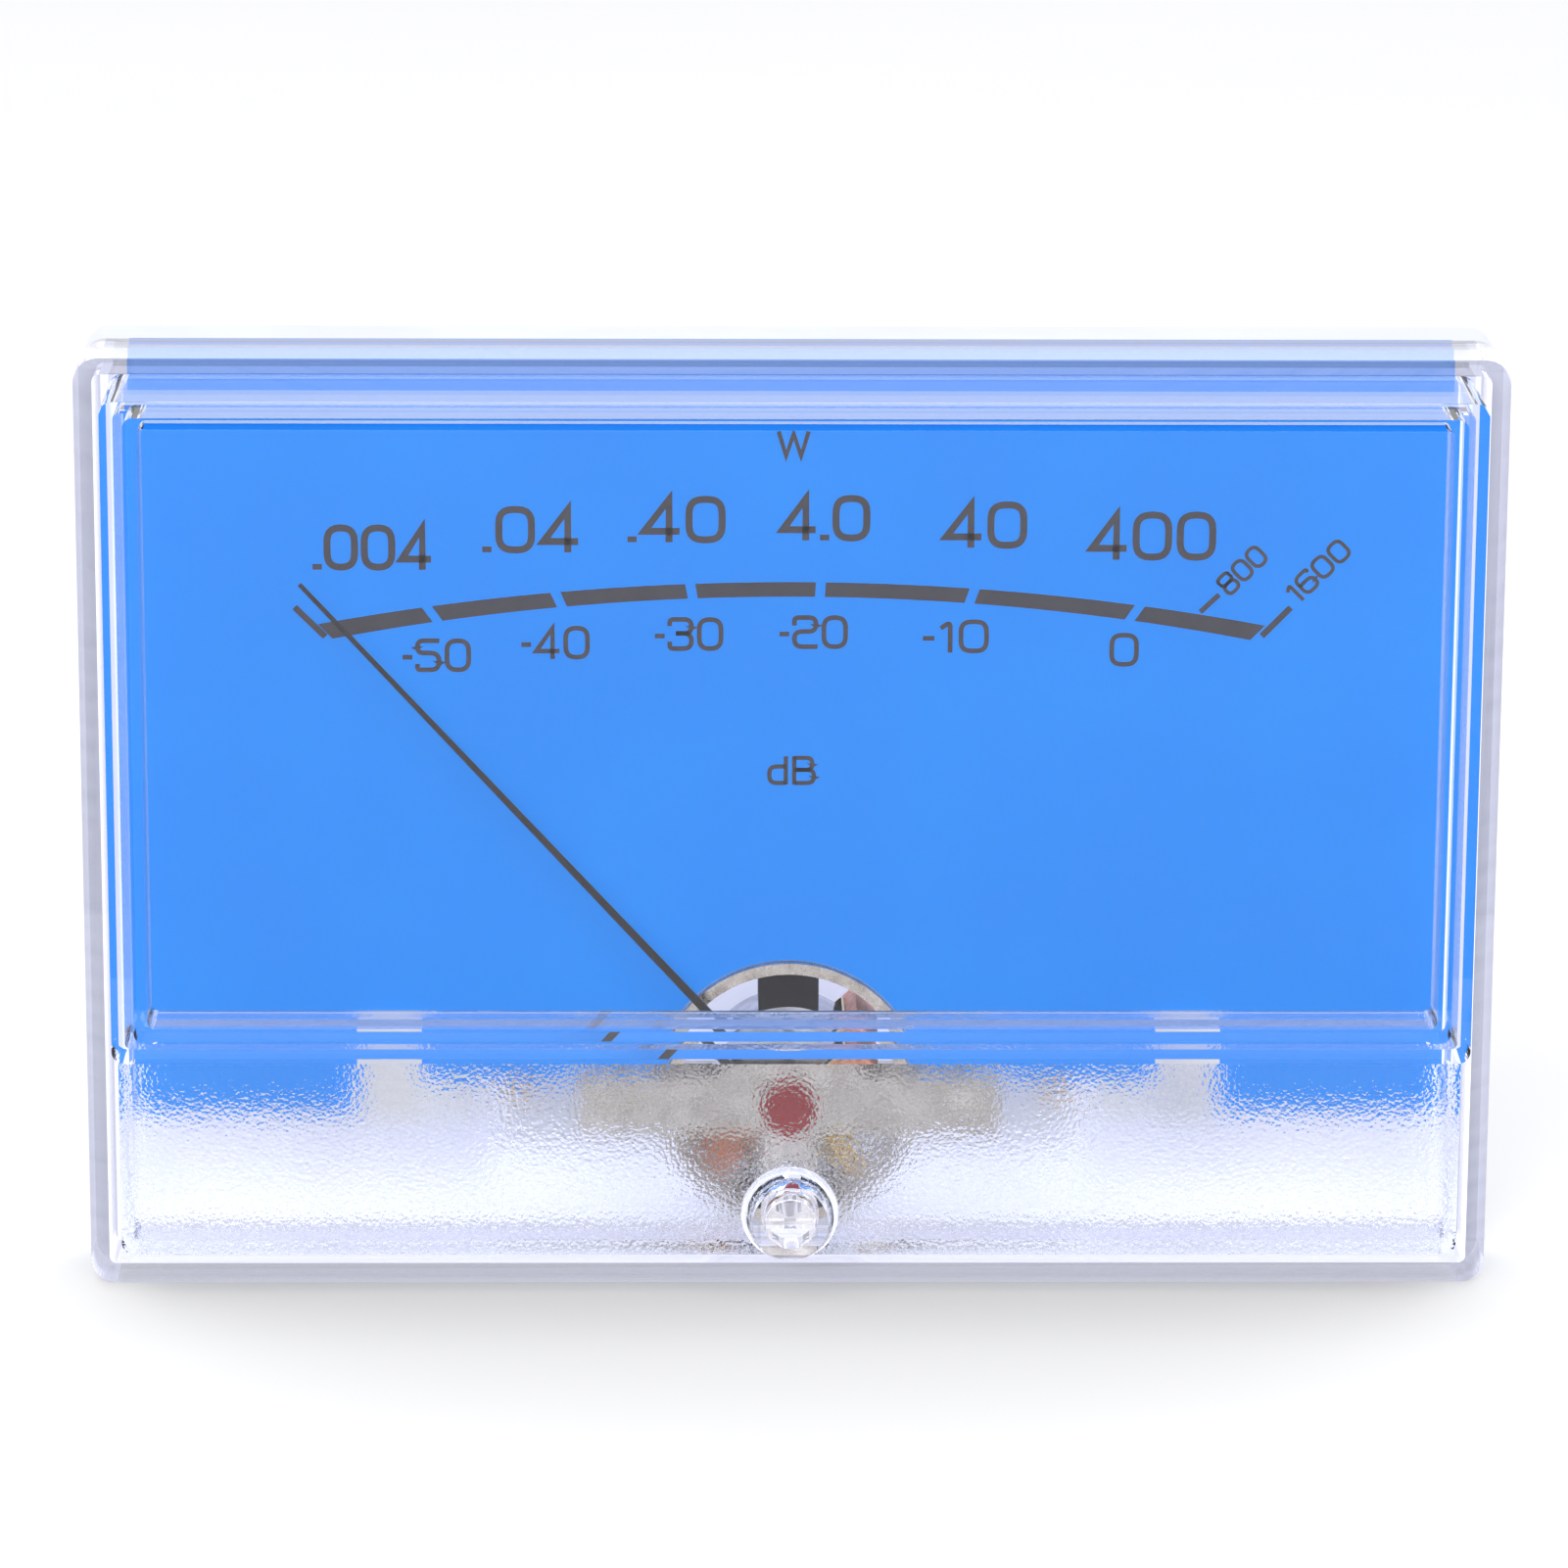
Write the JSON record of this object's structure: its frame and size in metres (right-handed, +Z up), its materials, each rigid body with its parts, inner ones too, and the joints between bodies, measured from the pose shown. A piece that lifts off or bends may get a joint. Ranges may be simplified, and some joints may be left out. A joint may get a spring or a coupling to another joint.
{
  "type": "analog panel level meter",
  "caption": "Wide analog level meter with a stepped clear cover, backlit scale, moving coil pointer, zero adjuster and rear terminals.",
  "frame": {"origin": "centre of the housing's bottom face, on which the meter stands", "axes": "+Z up, -Y out of the dial towards the viewer, +X to the viewer's right"},
  "size_m": [0.134, 0.0478, 0.0905],
  "materials": {
    "clear_acrylic": "clear polished moulding with a pebbled lower band",
    "white_plastic": "fine satin moulding",
    "blue_dial": "lit translucent film with dark grey printing",
    "diffuser_plastic": "translucent white",
    "board_laminate": "laminate board",
    "lamp_body": "clear lamp body",
    "tinned_brass": "bright tin plate",
    "black_plastic": "matt moulding",
    "nickel_iron": "nickel plated, fine tumbled",
    "magnet_alloy": "ground magnet alloy",
    "nickel_strip": "nickel plated strip",
    "red_screw_head": "sealed with red lacquer",
    "brass_part": "turned",
    "nickel_screw": "nickel plated",
    "spring_bronze": "thin bronze strip",
    "copper_wire": "enamelled copper",
    "aluminium_former": "thin formed sheet",
    "steel_pivot": "polished",
    "black_pointer": "black coated"
  },
  "bodies": {
    "meter": {"front_cover": "clear_acrylic", "rear_base": "white_plastic", "lamp_pins": "tinned_brass", "terminal_studs": "brass_part", "terminal_tags": "tinned_brass", "terminal_washers": "nickel_screw", "terminal_nuts": "brass_part", "dial_plate": "blue_dial", "light_diffuser": "diffuser_plastic", "lamp_board": "board_laminate", "lamps": "lamp_body", "movement_frame": "black_plastic", "yoke_ring": "nickel_iron", "core_magnet": "magnet_alloy", "front_bridge": "nickel_strip", "rear_bridge": "nickel_strip", "front_jewel_screw": "red_screw_head", "rear_jewel_screw": "brass_part", "bridge_pillars": "brass_part", "bridge_screws": "nickel_screw", "frame_screws": "brass_part", "frame_posts": "brass_part", "front_hairspring": "spring_bronze", "rear_hairspring": "spring_bronze"},
    "moving_coil": {"coil_winding": "copper_wire", "coil_former": "aluminium_former", "front_pivot": "steel_pivot", "rear_pivot": "steel_pivot", "pointer_hub": "brass_part", "balance_weights": "brass_part", "pointer": "black_pointer"},
    "zero_adjuster": {"zero_screw": "clear_acrylic"},
    "zero_arm": {"zero_lever": "nickel_strip"}
  },
  "joints": [
    {"name": "pointer_swing", "type": "hinge", "parent": "meter", "child": "moving_coil", "pos_m": [0, 0, 0.017], "axis": [0, 1, 0], "range_deg": [-2, 88], "stiffness_Nm_per_rad": 0.00003, "deforming": ["front_hairspring", "rear_hairspring"]},
    {"name": "zero_turn", "type": "hinge", "parent": "meter", "child": "zero_adjuster", "pos_m": [0, 0, 0.0088], "axis": [0, 1, 0], "range_deg": [-40, 40]},
    {"name": "zero_arm_swing", "type": "hinge", "parent": "meter", "child": "zero_arm", "pos_m": [0, 0, 0.017], "axis": [0, 1, 0], "range_deg": [-5, 5]}
  ],
  "couplings": [
    {"joint": "zero_arm_swing", "follows": "zero_turn", "ratio": -0.0933}
  ]
}
